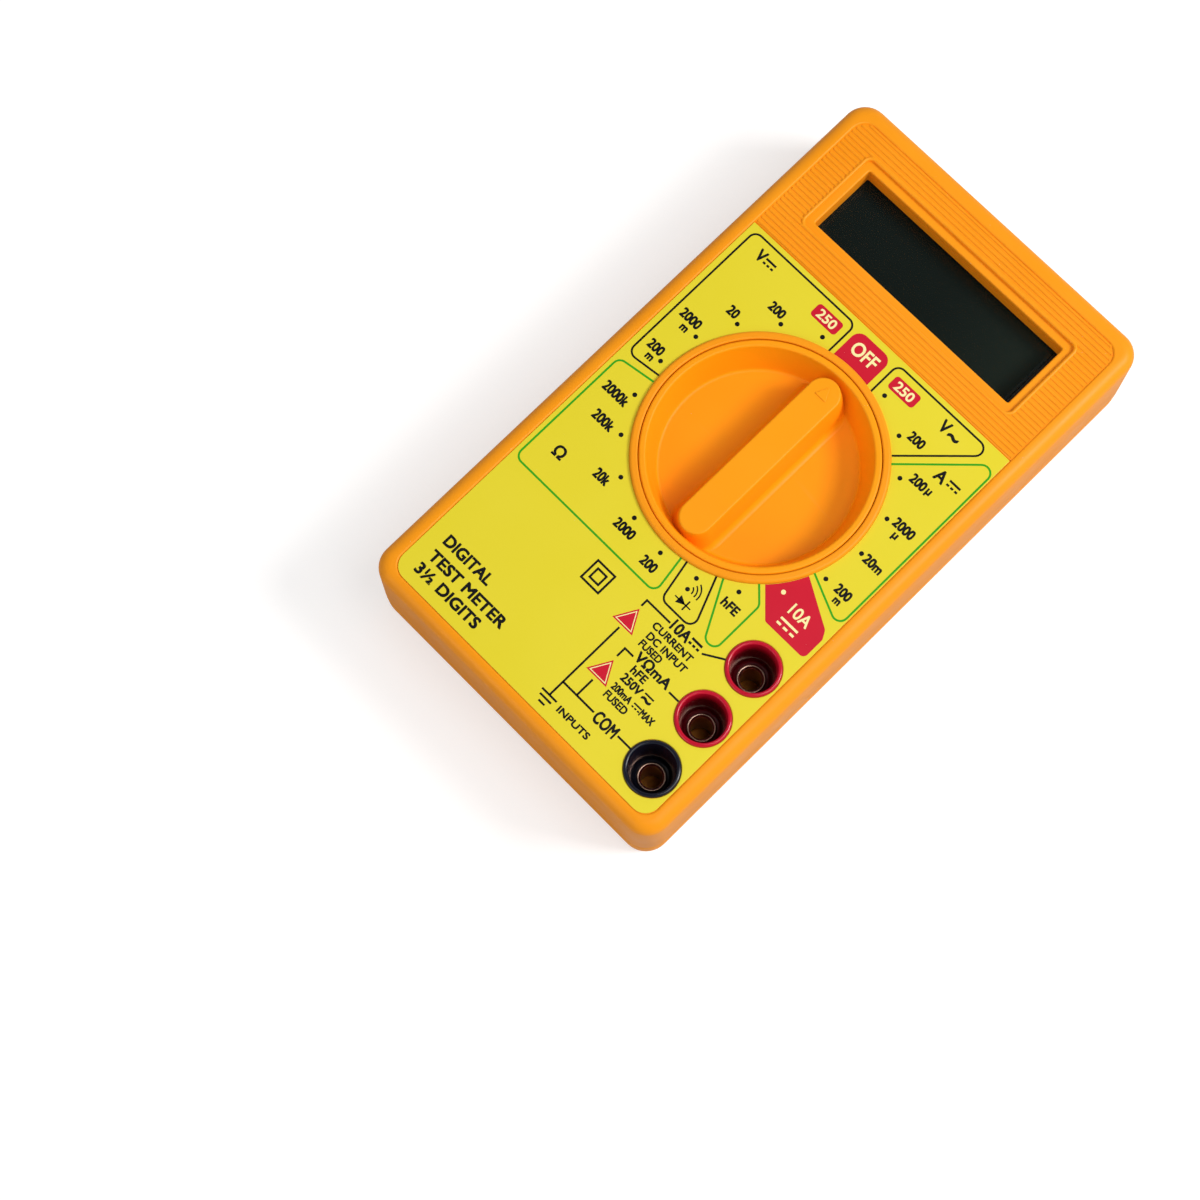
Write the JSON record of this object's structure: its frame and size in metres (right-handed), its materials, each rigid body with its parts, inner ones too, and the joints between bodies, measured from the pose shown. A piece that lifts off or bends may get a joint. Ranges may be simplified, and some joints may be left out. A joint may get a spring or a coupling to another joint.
{
  "type": "digital multimeter",
  "caption": "Pocket digital multimeter lying on its back: two-part moulded case, LCD window, turning range selector and banana plug sockets.",
  "frame": {"origin": "middle of the back face that the meter lies on, under the selector knob's axis", "axes": "+Z out of the face, +Y towards the display end, +X to the reader's right"},
  "size_m": [0.07, 0.126, 0.025],
  "materials": {
    "case_plastic": "satin moulded, light mould texture",
    "knob_plastic": "satin moulded",
    "label_foil": "satin printed foil",
    "clear_lens": "clear",
    "lcd_glass": "dark, blank",
    "black_plastic": "satin",
    "zebra_rubber": "matte",
    "red_sleeve": "glossy moulded",
    "black_sleeve": "glossy moulded",
    "tinned_brass": "tinned",
    "contact_brass": "satin",
    "plated_steel": "zinc plated",
    "spring_steel": "drawn wire",
    "board_laminate": "solder mask",
    "black_resin": "cast",
    "trimmer_blue": "moulded",
    "capacitor_sleeve": "shrink sleeve",
    "capacitor_film": "dipped",
    "resistor_enamel": "enamel",
    "red_insulation": "extruded",
    "black_insulation": "extruded",
    "shunt_wire": "bare alloy wire",
    "battery_jacket": "lacquered",
    "foam": "open cell"
  },
  "bodies": {
    "case": {"front_shell": "case_plastic", "back_shell": "case_plastic", "case_screws": "plated_steel", "faceplate_label": "label_foil", "display_window": "clear_lens", "lcd_panel": "lcd_glass", "lcd_holder": "black_plastic", "contact_strip_upper": "zebra_rubber", "contact_strip_lower": "zebra_rubber", "socket_sleeve_ten_amp": "red_sleeve", "socket_tube_ten_amp": "tinned_brass", "socket_sleeve_volt_ohm": "red_sleeve", "socket_tube_volt_ohm": "tinned_brass", "socket_sleeve_common": "black_sleeve", "socket_tube_common": "tinned_brass", "main_board": "board_laminate", "board_screws": "plated_steel", "chip_cap": "black_resin", "trimmer_base": "trimmer_blue", "electrolytic_capacitor": "capacitor_sleeve", "film_capacitors": "capacitor_film", "transistors": "black_resin", "buzzer": "black_plastic", "resistors": "resistor_enamel", "fuse_glass": "clear_lens", "fuse_wire": "plated_steel", "fuse_caps": "plated_steel", "fuse_clips": "contact_brass", "battery_lead_red": "red_insulation", "battery_lead_black": "black_insulation", "current_shunt": "shunt_wire", "battery": "battery_jacket", "battery_terminals": "plated_steel", "battery_snap": "black_plastic", "battery_cushion": "foam"},
    "selector": {"selector_knob": "knob_plastic", "wiper_contacts": "contact_brass", "detent_spring_right": "spring_steel", "detent_spring_left": "spring_steel"},
    "detent_right": {"detent_ball_right": "plated_steel"},
    "detent_left": {"detent_ball_left": "plated_steel"},
    "trimmer": {"trimmer_rotor": "contact_brass"}
  },
  "joints": [
    {"name": "selector_turn", "type": "hinge", "parent": "case", "child": "selector", "pos_m": [0, 0, 0.02], "axis": [0, 0, 1], "continuous": true},
    {"name": "detent_right_press", "type": "slide", "parent": "selector", "child": "detent_right", "axis": [0, 0, 1], "range_m": [-0.0006, 0], "stiffness_N_per_m": 800, "springref_m": 0.0008, "deforming": ["detent_spring_right"]},
    {"name": "detent_left_press", "type": "slide", "parent": "selector", "child": "detent_left", "axis": [0, 0, 1], "range_m": [-0.0006, 0], "stiffness_N_per_m": 800, "springref_m": 0.0008, "deforming": ["detent_spring_left"]},
    {"name": "trimmer_turn", "type": "hinge", "parent": "case", "child": "trimmer", "pos_m": [-0.015, 0.012, 0.007], "axis": [0, 0, 1], "range_deg": [-130, 130]}
  ]
}
